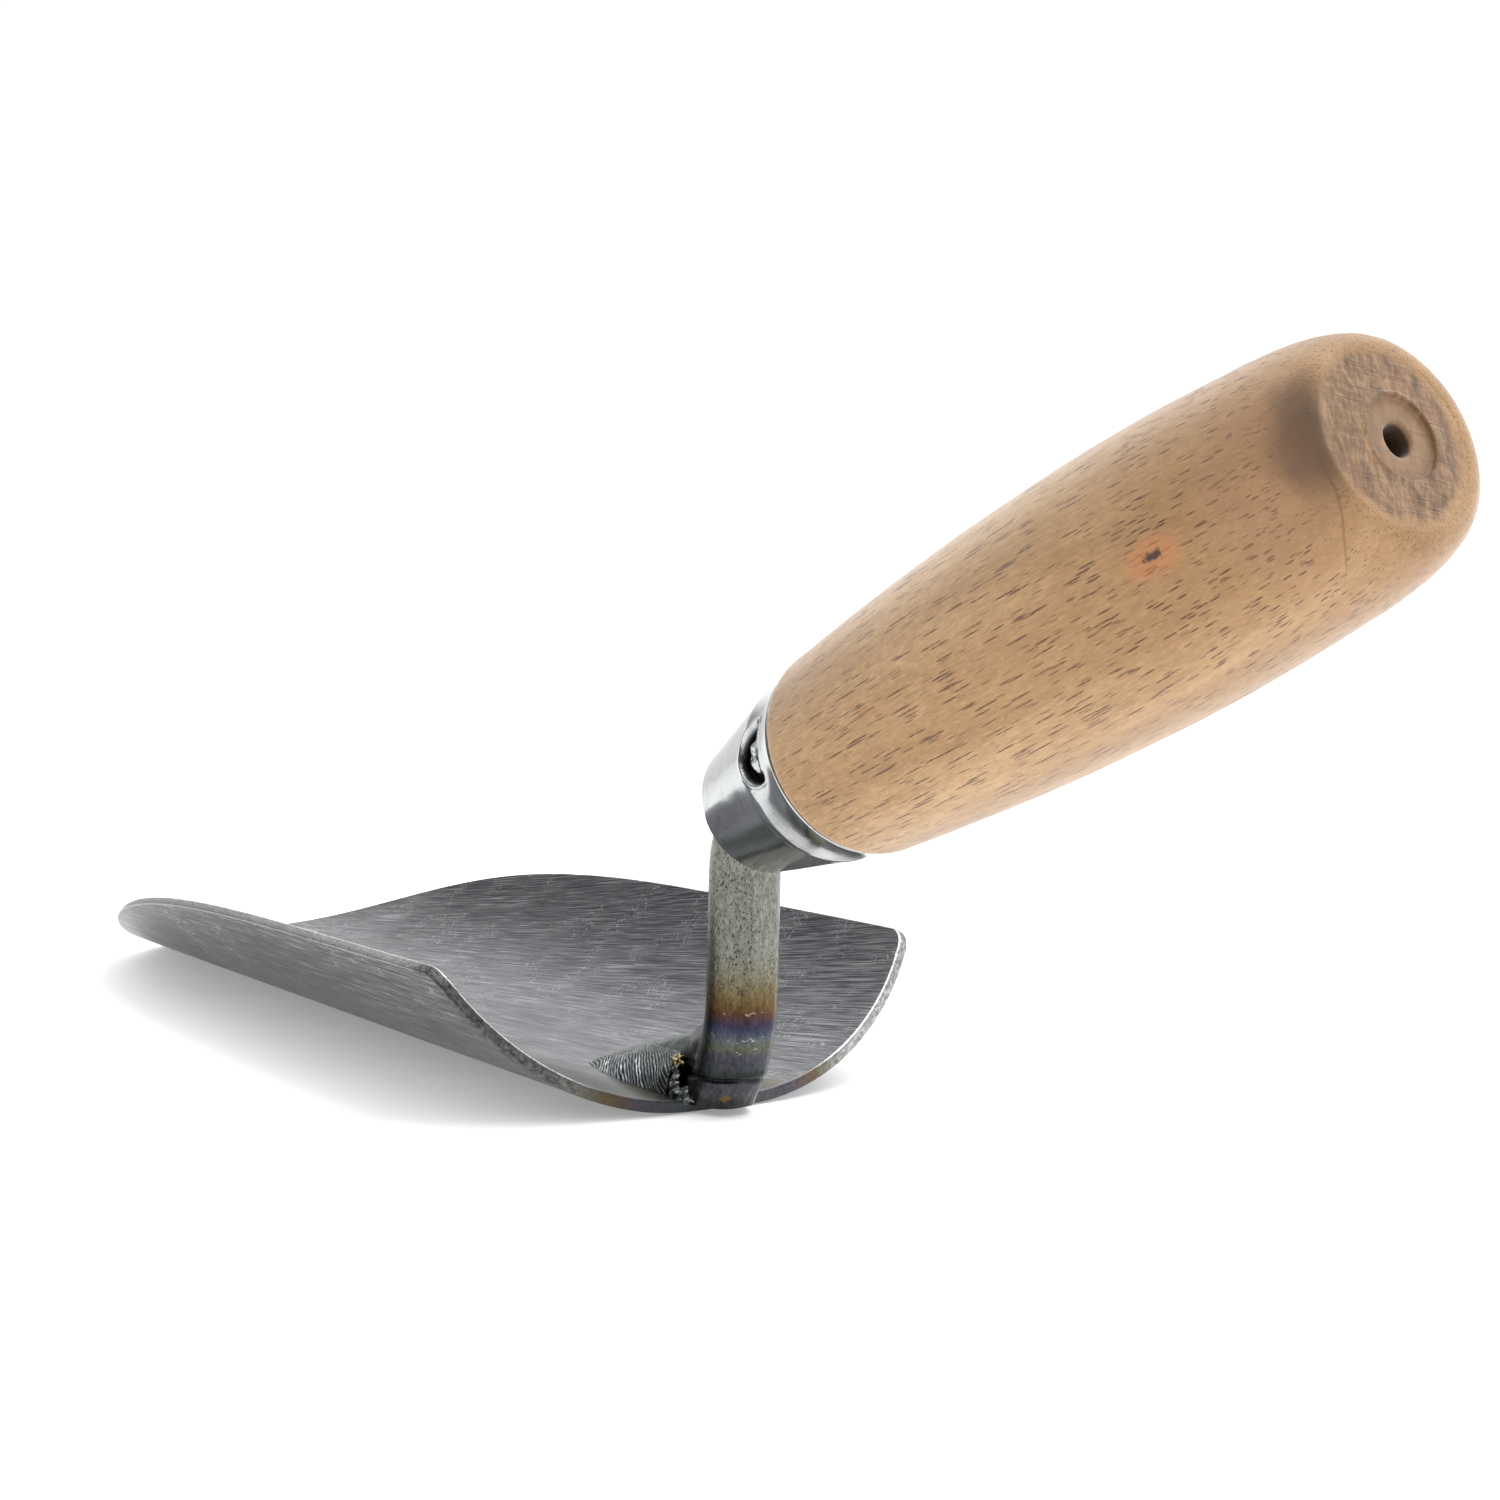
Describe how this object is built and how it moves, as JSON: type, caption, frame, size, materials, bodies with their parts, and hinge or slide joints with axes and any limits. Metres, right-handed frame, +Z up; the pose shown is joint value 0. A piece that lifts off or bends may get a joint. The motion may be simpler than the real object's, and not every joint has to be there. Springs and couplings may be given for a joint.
{
  "type": "hand trowel",
  "caption": "Hand trowel with a lengthwise-rolled steel blade, raised round-rod shank, tapered metal ferrule and turned wooden handle.",
  "frame": {"origin": "middle of the bounding box's footprint, on the plane the blade's flat bottom strip rests on", "axes": "+X from the blade's tip towards the handle's butt, +Z up out of the blade's hollow side, +Y across the blade"},
  "size_m": [0.2984, 0.082, 0.1026],
  "materials": {
    "blade_steel": "ground lengthwise, bare steel with a slightly diagonal brush and light scratches",
    "shank_steel": "bare rod with fine mill-scale pits, heat tinted straw, purple and blue towards the weld",
    "weld_steel": "rippled dark weld bead",
    "ferrule_steel": "polished",
    "handle_wood": "unvarnished beech, fine sanded"
  },
  "bodies": {
    "root": {"blade": "blade_steel", "shank": "shank_steel", "foot_weld_left": "weld_steel", "foot_weld_right": "weld_steel", "heel_weld_left": "weld_steel", "heel_weld_right": "weld_steel", "ferrule": "ferrule_steel", "handle": "handle_wood"}
  },
  "joints": []
}
